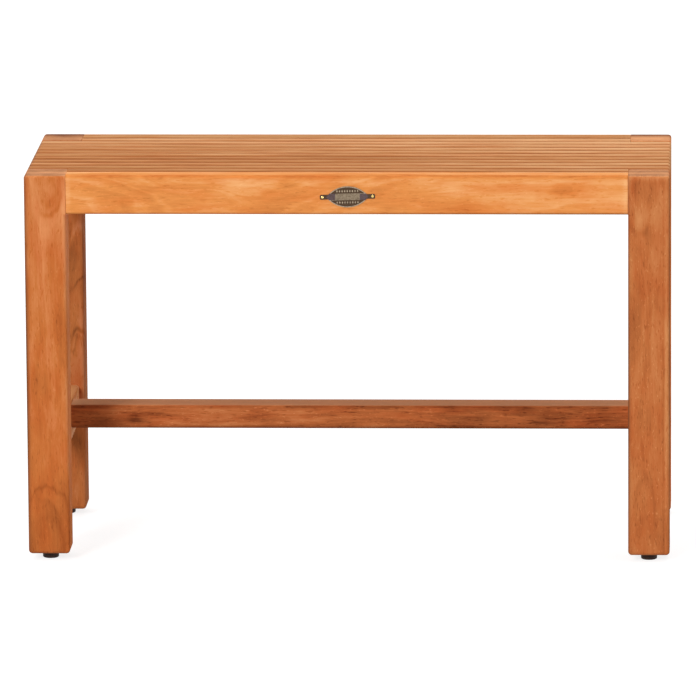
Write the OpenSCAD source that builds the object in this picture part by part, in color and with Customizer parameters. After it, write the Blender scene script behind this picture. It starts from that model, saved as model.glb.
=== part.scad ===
// Teak shower bench: a slatted seat flush with four square legs, low rails at the sides,
// one long stretcher between them and a levelling foot under each leg.
// The origin is the centre of the footprint, on the floor. X runs along the seat,
// the front faces -Y and Z is up. All sizes are in millimetres.

/* [Overall] */
// Length of the seat over the outer faces of the legs
bench_length = 762; // [600:1:1200]
// Depth over the front and back faces of the legs
bench_depth = 305; // [290:1:340]
// Height of the seat top above the floor
seat_height = 465; // [400:1:520]

/* [Legs] */
// Side of the square section of a leg
leg_side = 49.2; // [47:0.2:54]
// Radius of a leg's rounded arrises
leg_arris = 4.5; // [2:0.5:6]
// Radius of the fine arris where two pieces meet
joint_arris = 0.8; // [0.4:0.1:1.5]

/* [Aprons] */
// Height of the front and back aprons, slats included
apron_height = 46.5; // [40:0.5:60]
// Thickness of the aprons and of the seat rails
apron_thick = 28; // [24:1:31]
// Distance of the aprons behind the faces of the legs
apron_setback = 1; // [0.5:0.1:2]
// Radius along the outer edge of the seat
seat_arris = 3.5; // [2:0.5:7]
// Radius of the lower arrises of the aprons
apron_arris = 3; // [1:0.5:5]

/* [Seat] */
// Thickness of a seat slat
slat_thick = 19; // [15:0.5:22]
// Drainage gap on each side of a slat
slat_gap = 4; // [3:0.1:6]
// Radius along the upper arrises of a slat
slat_arris = 2.5; // [1:0.1:4]
// Width of the centre batten under the slats
batten_width = 44; // [30:1:70]

/* [Low rails and stretcher] */
// Height of the tops of the low rails and the stretcher above the floor
low_rail_top = 163.5; // [120:0.5:260]
// Height of a low rail
low_rail_height = 46; // [35:1:60]
// Thickness of a low rail
low_rail_thick = 35; // [30:1:42]
// Height of the long stretcher
stretcher_height = 29; // [24:1:34]
// Depth of the long stretcher from front to back
stretcher_depth = 40; // [25:1:50]
// Radius of the arrises of the low rails and the stretcher
low_arris = 4; // [1:0.5:6]

/* [Joinery] */
// Thickness of a tenon
tenon_thick = 10; // [8:0.5:12]
// Length of a tenon
tenon_length = 24; // [16:1:25]
// Step from the edge of a rail to its tenon
tenon_step = 6; // [4:0.5:8]
// Length of the short tenons of the outer slats and of the centre batten
stub_length = 10; // [6:1:14]
// Thickness of those short tenons
stub_thick = 8; // [6:0.5:10]

/* [Screws] */
// Diameter of the shank of a slat screw
screw_diameter = 4; // [3:0.1:5]
// Diameter of the countersunk head
screw_head = 8; // [7:0.1:9]
// Height of the countersunk head
screw_head_height = 2.4; // [1.8:0.1:3]
// Depth to which a screw bites into its slat
screw_bite = 11; // [8:0.5:12]
// Width of one arm of the cross recess in the head
recess_width = 1; // [0.6:0.1:1.2]
// Span of the cross recess
recess_span = 4.4; // [3:0.1:5]
// Depth of the cross recess
recess_depth = 1.6; // [1:0.1:2]

/* [Levelling feet] */
// Diameter of a foot pad
pad_diameter = 19.2; // [18:0.1:30]
// Height of a foot pad
pad_height = 7.3; // [3.4:0.1:8]
// Bevel around the bottom of a pad
pad_bevel = 1.4; // [0.4:0.1:1.6]
// Diameter of the thread of a stud
thread_diameter = 8; // [6:0.5:9]
// Running clearance around the thread, on the radius
thread_clearance = 0.05; // [0.02:0.01:0.1]
// Length of a stud above its pad
stud_length = 26; // [22:1:32]
// Diameter of the disc by which a stud is moulded into its pad
stud_disc = 13; // [12:0.5:15]
// Thickness of that disc
stud_disc_thick = 1.2; // [0.8:0.1:1.4]
// Rubber between that disc and the floor
pad_sole = 1.4; // [1:0.1:1.8]
// Outer diameter of a threaded insert
insert_diameter = 12; // [11:0.5:15]
// Depth of a threaded insert in its leg
insert_depth = 16; // [12:0.5:20]
// Diameter of the flange of an insert
flange_diameter = 18.6; // [16:0.1:24]
// Thickness of that flange
flange_thick = 1.2; // [0.8:0.1:2]
// Room around and above a stud in its leg
stud_room = 1; // [0.5:0.1:2]

/* [Nameplate] */
// Width of the lens of the plate
plate_width = 50; // [40:1:70]
// Height of the lens
plate_height = 25; // [18:0.5:30]
// Thickness of the plate's ground
plate_thick = 0.7; // [0.5:0.1:1]
// Height of the rim and the band over the ground
plate_relief = 0.4; // [0.2:0.1:0.6]
// Width of the raised rim
rim_width = 1.2; // [0.8:0.1:2]
// Height of the plain band across the plate
band_height = 8; // [5:0.5:10]
// Reach of a lug beyond the lens
lug_reach = 7.5; // [6:0.5:10]
// Height of a lug
lug_height = 5.6; // [5:0.1:7]
// Radius of the corners of a lug
lug_corner = 1.2; // [0.5:0.1:2]
// Distance of a pin from the outer end of its lug
pin_inset = 2.9; // [2.5:0.1:3.5]
// Diameter of a pin's shank
pin_diameter = 1.6; // [1:0.1:2]
// Diameter of a pin's round head
pin_head = 3; // [2.5:0.1:4]
// Height of that head
pin_head_height = 0.6; // [0.4:0.1:1]
// Length of a pin in the wood
pin_length = 12; // [8:1:18]
// Sideways place of the plate from the middle of the apron
plate_shift = 1.5; // [-20:0.5:20]
// Height of the middle of the plate above the lower edge of the apron
plate_rise = 21.5; // [18:0.5:26]
// Turn of the plate in the plane of the apron, in degrees
plate_tilt = 1.2; // [0:0.1:3]

/* [Hidden] */
$fn = 48;

slat_count = 11;
half_length = bench_length / 2;
half_depth = bench_depth / 2;
leg_bottom = pad_height + flange_thick;
slat_bottom = seat_height - slat_thick;
apron_bottom = seat_height - apron_height;
seat_rail_height = slat_bottom - apron_bottom;
leg_reach_x = half_length - leg_side;
leg_reach_y = half_depth - leg_side;
leg_centre_x = half_length - leg_side / 2;
leg_centre_y = half_depth - leg_side / 2;
apron_inner = half_depth - apron_setback - apron_thick;
seat_rail_centre = half_length - apron_setback - apron_thick / 2;
slat_pitch = (2 * apron_inner - slat_gap) / slat_count;
slat_width = slat_pitch - slat_gap;
slat_low_arris = slat_arris / 2;
low_rail_inner = leg_centre_x - low_rail_thick / 2;
stub_rise = slat_bottom + (slat_thick - stub_thick) / 2;
batten_stub_rise = apron_bottom + (seat_rail_height - stub_thick) / 2;
thread_radius = thread_diameter / 2;
past = 1;       // how far a cut runs past the surface that it opens, and a tenon into its own piece

function slat_y(i) = -apron_inner + slat_gap + slat_width / 2 + (i - 1) * slat_pitch;
// A slat that would meet the legs stops between them
function slat_is_short(i) = abs(slat_y(i)) + slat_width / 2 > leg_reach_y - slat_gap / 2;
function slat_half_length(i) = slat_is_short(i) ? leg_reach_x : half_length;
function all_corners(r) = [r, r, r, r];

// ---------- outlines and blocks ----------

// What a rounded corner of radius r takes away at the origin
module corner_waste(r) {
    difference() {
        translate([-past, -past]) square(r + past);
        translate([r, r]) circle(r);
    }
}

// Rectangle from the origin with a radius for each corner, in the order
// low-low, high-low, high-high, low-high
module soft_rect(w, h, radii) {
    difference() {
        square([w, h]);
        if (radii[0] > 0) corner_waste(radii[0]);
        if (radii[1] > 0) translate([w, 0]) mirror([1, 0]) corner_waste(radii[1]);
        if (radii[2] > 0) translate([w, h]) rotate(180) corner_waste(radii[2]);
        if (radii[3] > 0) translate([0, h]) mirror([0, 1]) corner_waste(radii[3]);
    }
}

// The three prisms of a box from the origin: seen from above, from the front and from the left
module prism_above(size, radii) {
    linear_extrude(size.z) soft_rect(size.x, size.y, radii);
}

module prism_front(size, radii) {
    translate([0, size.y, 0]) rotate([90, 0, 0])
        linear_extrude(size.y) soft_rect(size.x, size.z, radii);
}

module prism_side(size, radii) {
    rotate([90, 0, 90])
        linear_extrude(size.x) soft_rect(size.y, size.z, radii);
}

// Block from the origin, rounded as its three outlines say
module soft_block(size, above, front, side) {
    intersection() {
        prism_above(size, above);
        prism_front(size, front);
        prism_side(size, side);
    }
}

// Box between two corners
module box(low, high) {
    translate(low) cube(high - low);
}

// Children at the left, and mirrored to the right
module both_ends() {
    children();
    mirror([1, 0, 0]) children();
}

// Children at the front, and mirrored to the back
module both_sides() {
    children();
    mirror([0, 1, 0]) children();
}

// Children made for the front left corner, moved to one of the four
module at_corner(right, back) {
    if (right && back) mirror([1, 0, 0]) mirror([0, 1, 0]) children();
    else if (right) mirror([1, 0, 0]) children();
    else if (back) mirror([0, 1, 0]) children();
    else children();
}

// ---------- tenons, also cut as mortises ----------

// Left tenon of the front apron
module apron_tenon() {
    y = -half_depth + apron_setback + (apron_thick - tenon_thick) / 2;
    box([-leg_reach_x - tenon_length, y, apron_bottom + tenon_step],
        [-leg_reach_x + past, y + tenon_thick, seat_height - tenon_step]);
}

// Front tenon of the left seat rail
module seat_rail_tenon() {
    x = -seat_rail_centre - tenon_thick / 2;
    box([x, -leg_reach_y - tenon_length, apron_bottom + tenon_step],
        [x + tenon_thick, -leg_reach_y + past, slat_bottom - tenon_step]);
}

// Front tenon of the left low rail
module low_rail_tenon() {
    x = -leg_centre_x - tenon_thick / 2;
    box([x, -leg_reach_y - tenon_length, low_rail_top - low_rail_height + tenon_step],
        [x + tenon_thick, -leg_reach_y + past, low_rail_top - tenon_step]);
}

// Left tenon of the long stretcher
module stretcher_tenon() {
    box([-low_rail_inner - tenon_length, -tenon_thick / 2,
         low_rail_top - stretcher_height + tenon_step],
        [-low_rail_inner + past, tenon_thick / 2, low_rail_top - tenon_step]);
}

// Left short tenon of a slat that lies between the legs
module slat_stub(i) {
    y = slat_y(i) - stub_thick / 2;
    box([-leg_reach_x - stub_length, y, stub_rise],
        [-leg_reach_x + past, y + stub_thick, stub_rise + stub_thick]);
}

// Front short tenon of the centre batten
module batten_stub() {
    box([-batten_width / 2 + tenon_step, -apron_inner - stub_length, batten_stub_rise],
        [batten_width / 2 - tenon_step, -apron_inner + past, batten_stub_rise + stub_thick]);
}

// ---------- wooden pieces ----------

// The front left leg, sawn to its outline: its arrises are full below the apron
// and fine where the apron and the seat rail meet it
module leg_blank() {
    length = seat_height - leg_bottom;
    free = apron_bottom - leg_bottom;
    size = [leg_side, leg_side, length];
    elevation = [leg_arris, leg_arris, joint_arris, seat_arris];
    translate([-half_length, -half_depth, leg_bottom]) intersection() {
        union() {
            prism_above([leg_side, leg_side, free], all_corners(leg_arris));
            translate([0, 0, free])
                prism_above([leg_side, leg_side, length - free],
                            [leg_arris, joint_arris, leg_arris, joint_arris]);
        }
        prism_front(size, elevation);
        prism_side(size, elevation);
    }
}

// Bore for the insert and, above it, room for the stud
module foot_bore() {
    translate([-leg_centre_x, -leg_centre_y, leg_bottom - past]) {
        cylinder(h = insert_depth + past, d = insert_diameter);
        cylinder(h = pad_height + stud_length + stud_room - leg_bottom + past,
                 r = thread_radius + stud_room);
    }
}

module leg(right, back) {
    color("#C8733B") at_corner(right, back) difference() {
        leg_blank();
        apron_tenon();
        seat_rail_tenon();
        low_rail_tenon();
        for (i = [1:slat_count])
            if (slat_is_short(i) && slat_y(i) < 0) slat_stub(i);
        foot_bore();
    }
}

module apron_blank() {
    size = [2 * leg_reach_x, apron_thick, apron_height];
    translate([-leg_reach_x, -half_depth + apron_setback, apron_bottom])
        soft_block(size,
                   [joint_arris, joint_arris, 0, 0],
                   all_corners(0),
                   [apron_arris, apron_arris, slat_arris, seat_arris]);
    both_ends() apron_tenon();
}

module front_apron() {
    color("#E0954F") difference() {
        apron_blank();
        batten_stub();
        at_plate() pin_places() pin_shank(pin_length + past);
    }
}

module back_apron() {
    color("#D48A4B") mirror([0, 1, 0]) difference() {
        apron_blank();
        batten_stub();
    }
}

module left_seat_rail_blank() {
    size = [apron_thick, 2 * leg_reach_y, seat_rail_height];
    translate([-seat_rail_centre - apron_thick / 2, -leg_reach_y, apron_bottom])
        soft_block(size, all_corners(0),
                   [apron_arris, apron_arris, joint_arris, joint_arris],
                   all_corners(0));
    both_sides() seat_rail_tenon();
}

module seat_rail(right) {
    color("#C67A45") at_corner(right, false) difference() {
        left_seat_rail_blank();
        end_screw_places() screw_cut();
    }
}

module centre_batten() {
    size = [batten_width, 2 * apron_inner, seat_rail_height];
    color("#B8703F") difference() {
        union() {
            translate([-batten_width / 2, -apron_inner, apron_bottom])
                soft_block(size, all_corners(0),
                           [apron_arris, apron_arris, joint_arris, joint_arris],
                           all_corners(0));
            both_sides() batten_stub();
        }
        batten_screw_places() screw_cut();
    }
}

module slat(i) {
    half = slat_half_length(i);
    short = slat_is_short(i);
    end_top = short ? joint_arris : seat_arris;
    end_low = short ? 0 : joint_arris;
    color(i % 2 == 0 ? "#CC8E60" : "#D29A6C") difference() {
        union() {
            translate([-half, slat_y(i) - slat_width / 2, slat_bottom])
                soft_block([2 * half, slat_width, slat_thick],
                           all_corners(short ? 0 : joint_arris),
                           [end_low, end_low, end_top, end_top],
                           [slat_low_arris, slat_low_arris, slat_arris, slat_arris]);
            if (short) both_ends() slat_stub(i);
        }
        if (!short) both_ends() screw_at(-seat_rail_centre, slat_y(i)) screw_cut();
        screw_at(0, slat_y(i)) screw_cut();
    }
}

module low_rail(right) {
    size = [low_rail_thick, 2 * leg_reach_y, low_rail_height];
    color("#B56B3C") at_corner(right, false) difference() {
        union() {
            translate([-leg_centre_x - low_rail_thick / 2, -leg_reach_y,
                       low_rail_top - low_rail_height])
                soft_block(size, all_corners(0), all_corners(low_arris), all_corners(0));
            both_sides() low_rail_tenon();
        }
        stretcher_tenon();
    }
}

module long_stretcher() {
    size = [2 * low_rail_inner, stretcher_depth, stretcher_height];
    color("#8E4B2B") {
        translate([-low_rail_inner, -stretcher_depth / 2, low_rail_top - stretcher_height])
            soft_block(size, all_corners(0), all_corners(0), all_corners(low_arris));
        both_ends() stretcher_tenon();
    }
}

// ---------- screws under the seat ----------

// Children at one screw place, at the underside of the seat rails
module screw_at(x, y) {
    translate([x, y, apron_bottom]) children();
}

module end_screw_places() {
    for (i = [1:slat_count])
        if (!slat_is_short(i)) screw_at(-seat_rail_centre, slat_y(i)) children();
}

module batten_screw_places() {
    for (i = [1:slat_count]) screw_at(0, slat_y(i)) children();
}

// The hole for a screw: countersink, rail and slat
module screw_cut() {
    translate([0, 0, -past]) cylinder(h = seat_rail_height + screw_bite + past, d = screw_diameter);
    cylinder(h = screw_head_height, d1 = screw_head, d2 = screw_diameter);
}

module screw() {
    length = seat_rail_height + screw_bite;
    difference() {
        union() {
            cylinder(h = screw_head_height, d1 = screw_head, d2 = screw_diameter);
            cylinder(h = length - screw_diameter, d = screw_diameter);
            translate([0, 0, length - screw_diameter])
                cylinder(h = screw_diameter, d1 = screw_diameter, d2 = screw_diameter / 4);
        }
        for (turn = [0, 90]) rotate(turn)
            translate([-recess_span / 2, -recess_width / 2, -past])
                cube([recess_span, recess_width, recess_depth + past]);
    }
}

module rail_screws(right) {
    color("#B9BCBE") at_corner(right, false) end_screw_places() screw();
}

module batten_screws() {
    color("#B9BCBE") batten_screw_places() screw();
}

// ---------- nameplate ----------

// Children drawn flat, facing up, set on the face of the front apron
module at_plate() {
    translate([plate_shift, -half_depth + apron_setback, apron_bottom + plate_rise])
        rotate([90, 0, 0]) rotate(plate_tilt) children();
}

// Pointed oval, the overlap of two circles, drawn in by an inset
module lens(inset) {
    half_w = plate_width / 2 - inset;
    half_h = plate_height / 2 - inset;
    r = (half_w * half_w + half_h * half_h) / (2 * half_h);
    intersection() {
        translate([0, r - half_h]) circle(r, $fn = 4 * $fn);
        translate([0, half_h - r]) circle(r, $fn = 4 * $fn);
    }
}

module lugs() {
    reach = plate_width / 2 + lug_reach;
    translate([-reach, -lug_height / 2])
        soft_rect(2 * reach, lug_height, all_corners(lug_corner));
}

module pin_places() {
    for (side = [-1, 1])
        translate([side * (plate_width / 2 + lug_reach - pin_inset), 0, 0]) children();
}

// Shank of a pin, down into the wood and up through the plate
module pin_shank(depth) {
    translate([0, 0, -depth]) cylinder(h = depth + plate_thick, d = pin_diameter);
}

module nameplate() {
    color("#7A684F") at_plate() difference() {
        union() {
            linear_extrude(plate_thick) {
                lens(0);
                lugs();
            }
            linear_extrude(plate_thick + plate_relief) {
                difference() {
                    lens(0);
                    lens(rim_width);
                }
                intersection() {
                    lens(rim_width / 2);
                    square([plate_width, band_height], center = true);
                }
            }
        }
        pin_places() pin_shank(past);
    }
}

module nameplate_pins() {
    dome = (pin_head * pin_head / 4 + pin_head_height * pin_head_height) / (2 * pin_head_height);
    color("#D8B566") at_plate() pin_places() {
        pin_shank(pin_length);
        translate([0, 0, plate_thick]) rotate_extrude() intersection() {
            translate([0, pin_head_height - dome]) circle(dome);
            square([pin_head, pin_head_height]);
        }
    }
}

// ---------- levelling feet ----------

module at_foot(right, back) {
    at_corner(right, back) translate([-leg_centre_x, -leg_centre_y, 0]) children();
}

module insert(right, back) {
    color("#C9A15A") at_foot(right, back) difference() {
        union() {
            translate([0, 0, pad_height]) cylinder(h = flange_thick, d = flange_diameter);
            translate([0, 0, leg_bottom]) cylinder(h = insert_depth, d = insert_diameter);
        }
        translate([0, 0, pad_height - past])
            cylinder(h = flange_thick + insert_depth + 2 * past, r = thread_radius);
    }
}

// The stud's shank and the disc that holds it in the pad
module stud_shape() {
    translate([0, 0, pad_sole]) {
        cylinder(h = stud_disc_thick, d = stud_disc);
        cylinder(h = pad_height - pad_sole + stud_length, r = thread_radius - thread_clearance);
    }
}

module foot_stud(right, back) {
    color("#A8ABAD") at_foot(right, back) stud_shape();
}

module foot_pad(right, back) {
    radius = pad_diameter / 2;
    color("#17120F") at_foot(right, back) difference() {
        rotate_extrude() polygon([
            [0, 0],
            [radius - pad_bevel, 0],
            [radius, pad_bevel],
            [radius, pad_height],
            [0, pad_height]
        ]);
        stud_shape();
    }
}

leg(false, false);  // front_left_leg
leg(true, false);  // front_right_leg
leg(false, true);  // back_left_leg
leg(true, true);  // back_right_leg
front_apron();
back_apron();
seat_rail(false);  // left_seat_rail
seat_rail(true);  // right_seat_rail
centre_batten();
slat(1);  // slat_01
slat(2);  // slat_02
slat(3);  // slat_03
slat(4);  // slat_04
slat(5);  // slat_05
slat(6);  // slat_06
slat(7);  // slat_07
slat(8);  // slat_08
slat(9);  // slat_09
slat(10);  // slat_10
slat(11);  // slat_11
low_rail(false);  // left_low_rail
low_rail(true);  // right_low_rail
long_stretcher();
rail_screws(false);  // left_rail_screws
batten_screws();
rail_screws(true);  // right_rail_screws
nameplate();
nameplate_pins();
insert(false, false);  // front_left_insert
insert(true, false);  // front_right_insert
insert(false, true);  // back_left_insert
insert(true, true);  // back_right_insert
foot_stud(false, false);  // front_left_foot_stud
foot_stud(true, false);  // front_right_foot_stud
foot_stud(false, true);  // back_left_foot_stud
foot_stud(true, true);  // back_right_foot_stud
foot_pad(false, false);  // front_left_foot_pad
foot_pad(true, false);  // front_right_foot_pad
foot_pad(false, true);  // back_left_foot_pad
foot_pad(true, true);  // back_right_foot_pad
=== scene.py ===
import math
import random

import bmesh
import bpy
from mathutils import Euler, Matrix, Vector


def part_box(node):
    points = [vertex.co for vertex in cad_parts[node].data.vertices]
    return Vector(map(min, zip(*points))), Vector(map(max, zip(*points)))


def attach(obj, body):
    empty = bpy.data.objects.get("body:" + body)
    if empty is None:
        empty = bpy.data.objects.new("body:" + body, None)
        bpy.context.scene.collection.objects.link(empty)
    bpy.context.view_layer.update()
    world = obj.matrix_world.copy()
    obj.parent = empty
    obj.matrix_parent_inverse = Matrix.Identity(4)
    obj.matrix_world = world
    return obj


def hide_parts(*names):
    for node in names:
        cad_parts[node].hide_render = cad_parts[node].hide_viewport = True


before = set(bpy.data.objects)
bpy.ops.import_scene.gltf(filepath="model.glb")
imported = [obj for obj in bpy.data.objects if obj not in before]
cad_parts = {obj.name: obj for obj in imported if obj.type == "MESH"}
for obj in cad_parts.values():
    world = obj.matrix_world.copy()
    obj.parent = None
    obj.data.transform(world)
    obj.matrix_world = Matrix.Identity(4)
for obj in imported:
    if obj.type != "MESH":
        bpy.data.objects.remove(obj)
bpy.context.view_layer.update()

# Teak shower bench. X runs along the seat, -Y is the front and Z is up.
# Places are in metres. The dictionaries give sizes in millimetres and colours as sRGB hex.
mm = 0.001
scene = bpy.context.scene


photoView = {  # solved from the edges of the bench in the photograph
    "place": (0.438, -9.620, 2.074),  # metres
    "turns": (("Z", 2.643), ("X", 90 - 10.8425), ("Z", -0.39)),  # degrees: yaw, down from level, and roll
    "lens": 422.3,
    "sensor": 36,
    "farthest": 60,  # metres
}


def makeCamera(view):
    data = bpy.data.cameras.new("photoCamera")
    data.lens = view["lens"]
    data.sensor_width = view["sensor"]
    data.clip_end = view["farthest"]
    camera = bpy.data.objects.new("photoCamera", data)
    scene.collection.objects.link(camera)
    stand = Matrix.Translation(view["place"])
    for axis, degrees in view["turns"]:
        stand @= Matrix.Rotation(math.radians(degrees), 4, axis)
    camera.matrix_world = stand
    scene.camera = camera


makeCamera(photoView)


def toLinear(hexColour):
    parts = [int(hexColour[i : i + 2], 16) / 255 for i in (1, 3, 5)]
    return tuple(p / 12.92 if p <= 0.04045 else ((p + 0.055) / 1.055) ** 2.4 for p in parts) + (1,)


def inLinear(look):  # a dictionary with its colours made linear
    return {key: toLinear(value) if isinstance(value, str) else value for key, value in look.items()}


def put(tree, kind, inputs=None, **settings):  # adds a node and gives back its output
    node = tree.nodes.new("ShaderNode" + kind)
    for key, value in settings.items():
        setattr(node, key, value)
    for key, value in (inputs or {}).items():
        if isinstance(value, bpy.types.NodeSocket):
            tree.links.new(value, node.inputs[key])
        else:
            node.inputs[key].default_value = value
    return next((output for output in node.outputs if output.enabled), None)


def span(end, pair):  # the inputs for one end of a Map Range, From or To
    return {end + " Min": pair[0], end + " Max": pair[1]}


def lumps(place, size, detail=3):  # the inputs for even noise whose lumps are this big, in mm
    return {"Vector": place, "Scale": 1 / (size * mm), "Detail": detail}


def newMaterial(name):
    material = bpy.data.materials.new(name)
    material.use_nodes = True
    material.node_tree.nodes.clear()
    return material, material.node_tree


def finished(material, shaderInputs):
    tree = material.node_tree
    put(tree, "OutputMaterial", {"Surface": put(tree, "BsdfPrincipled", shaderInputs)})
    return material


mergeWithin = 0.002 * mm
sharpFrom = math.radians(50)


def newPiece(name, bm, material, body, node):  # a finished piece, which stands for its CAD node
    bmesh.ops.remove_doubles(bm, verts=bm.verts, dist=mergeWithin)
    bmesh.ops.recalc_face_normals(bm, faces=bm.faces)
    mesh = bpy.data.meshes.new(name)
    bm.to_mesh(mesh)
    bm.free()
    mesh.shade_smooth()
    mesh.set_sharp_from_angle(angle=sharpFrom)
    mesh.materials.append(material)
    piece = bpy.data.objects.new(name, mesh)
    scene.collection.objects.link(piece)
    evenShading = piece.modifiers.new("evenShading", "WEIGHTED_NORMAL")
    evenShading.weight = 100  # the largest faces set the shading
    evenShading.keep_sharp = True
    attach(piece, body)
    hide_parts(node)


studio = {
    "floorSize": 60,  # metres
    "floorColour": "#CFCFCF",  # what the floor gives back to the bench
    "floorGlow": 0.80,  # what the camera sees of the floor where it is in the shade
    "floorShade": "#A4A4A4",
    "lamps": {  # the way of the light, its strength and how wide it is in degrees
        "keyLight": ((0.42, 1.0, -0.53), 1.54, 14),  # from the front left, above
        "fillLight": ((-1.0, 0.3, -0.25), 0.5, 70),  # a wide weak one from the right
        "topLight": ((0.10, -0.25, -1.0), 1.12, 60),  # a wide soft box over the bench, a little behind it
    },
    "skyStrength": 0.45,
}


def backgroundRays(tree):  # 1 for the rays that show the background: camera, mirror and glass
    path = put(tree, "LightPath").node.outputs
    shown = put(tree, "Math", {0: path["Is Camera Ray"], 1: path["Is Glossy Ray"]}, operation="MAXIMUM")
    return put(tree, "Math", {0: shown, 1: path["Is Transmission Ray"]}, operation="MAXIMUM")


def makeStudio(light):
    bm = bmesh.new()
    bmesh.ops.create_grid(bm, x_segments=1, y_segments=1, size=light["floorSize"] / 2)
    mesh = bpy.data.meshes.new("floor")
    bm.to_mesh(mesh)
    bm.free()
    floor = bpy.data.objects.new("floor", mesh)
    scene.collection.objects.link(floor)
    material, tree = newMaterial("paleFloor")
    mesh.materials.append(material)
    bounce = put(tree, "BsdfDiffuse", {"Color": toLinear(light["floorColour"])})
    shade = put(tree, "BsdfDiffuse", {"Color": toLinear(light["floorShade"])})
    glow = put(tree, "Emission", {"Strength": light["floorGlow"]})
    shown = put(tree, "AddShader", {0: shade, 1: glow})
    surface = put(tree, "MixShader", {0: backgroundRays(tree), 1: bounce, 2: shown})
    put(tree, "OutputMaterial", {"Surface": surface})

    for name, (way, strength, angle) in light["lamps"].items():
        lamp = bpy.data.lights.new(name, "SUN")
        lamp.energy = strength
        lamp.angle = math.radians(angle)
        lampObject = bpy.data.objects.new(name, lamp)
        lampObject.matrix_world = Vector(way).to_track_quat("-Z", "Y").to_matrix().to_4x4()
        scene.collection.objects.link(lampObject)

    scene.world = bpy.data.worlds.new("paleStudio")
    scene.world.use_nodes = True
    tree = scene.world.node_tree
    tree.nodes.clear()
    strength = put(tree, "MapRange", {"Value": backgroundRays(tree), "To Min": light["skyStrength"]})
    sky = put(tree, "Background", {"Color": (1, 1, 1, 1), "Strength": strength})
    put(tree, "OutputWorld", {"Surface": sky})
    scene.view_settings.view_transform = "Standard"


makeStudio(studio)
print("camera, floor and light are set")


grainTurn = {  # turns the way of the grain onto X
    "X": Euler((0, 0, 0)),
    "Y": Euler((0, 0, math.radians(-90))),
    "Z": Euler((0, math.radians(90), 0)),
}
grainWay = {"X": (1, 0, 0), "Y": (0, 1, 0), "Z": (0, 0, 1)}

# What every board has, unless its own dictionary says otherwise. A pair such as 0.60, 0.72 says where in
# the noise, or how square to a direction, an effect starts and where it is full.
teakGrain = {
    "ring": 4.6,  # between growth rings
    "longSway": (260, 60, 9.0),  # wave of the rings: length, width and push
    "shortSway": (60, 13, 2.2),
    "streak": (70, 1.7),  # length and width of a fibre line, drawn three times too wide so that it shows
    "cloud": (110, 34),
    "pore": (9, 1.5, 0.60, 0.72),  # a pore is 0.3 wide in teak, and drawn wider so that it shows
    "fleck": (4.5, 1.5, 0.64, 0.78),  # a pale ray fleck
    "blush": (75, 17, 0.42, 0.68),  # redder clouds
    "redness": 0.5,
    "blushShade": "#F2C8B4", "endDark": "#A0643C", "endLight": "#DCA470",
    # painted shade: in a gap, and along edges
    "paintedGapShade": "#C8A288", "edgeShadeColour": "#70442C",
    "flecks": 0,
    "lift": 0,  # how much paler the whole board is
    "wearAndSheen": 0.06,  # how much paler it is along an arris, by wear and a painted highlight
    "paleArrisWidth": 2.2,
    "figures": (), "patches": (), "growthLines": (), "paintedEdgeShade": (),
    "lineSway": 0.9,  # how far the clouds push a growth line
    # painted sheen, paler, on what faces up
    "upward": (0.7, 0.98),
    "topSheenStrength": 0.75,
    "endFace": (0.6, 0.95),
    # the next three set the painted shade on the sides of a gap, patchy with the clouds
    "gapFace": (0.25, 0.6),
    "patchyGapShade": (0.35, 0.6),
    "leastGapShade": 0.4,
    "roughness": (0.68, 0.88),
    "relief": (0.12, 0.5),  # height and strength
    "ior": 1.5,
    "gloss": 0.03,  # oiled wood scatters what grazes it
}


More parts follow.
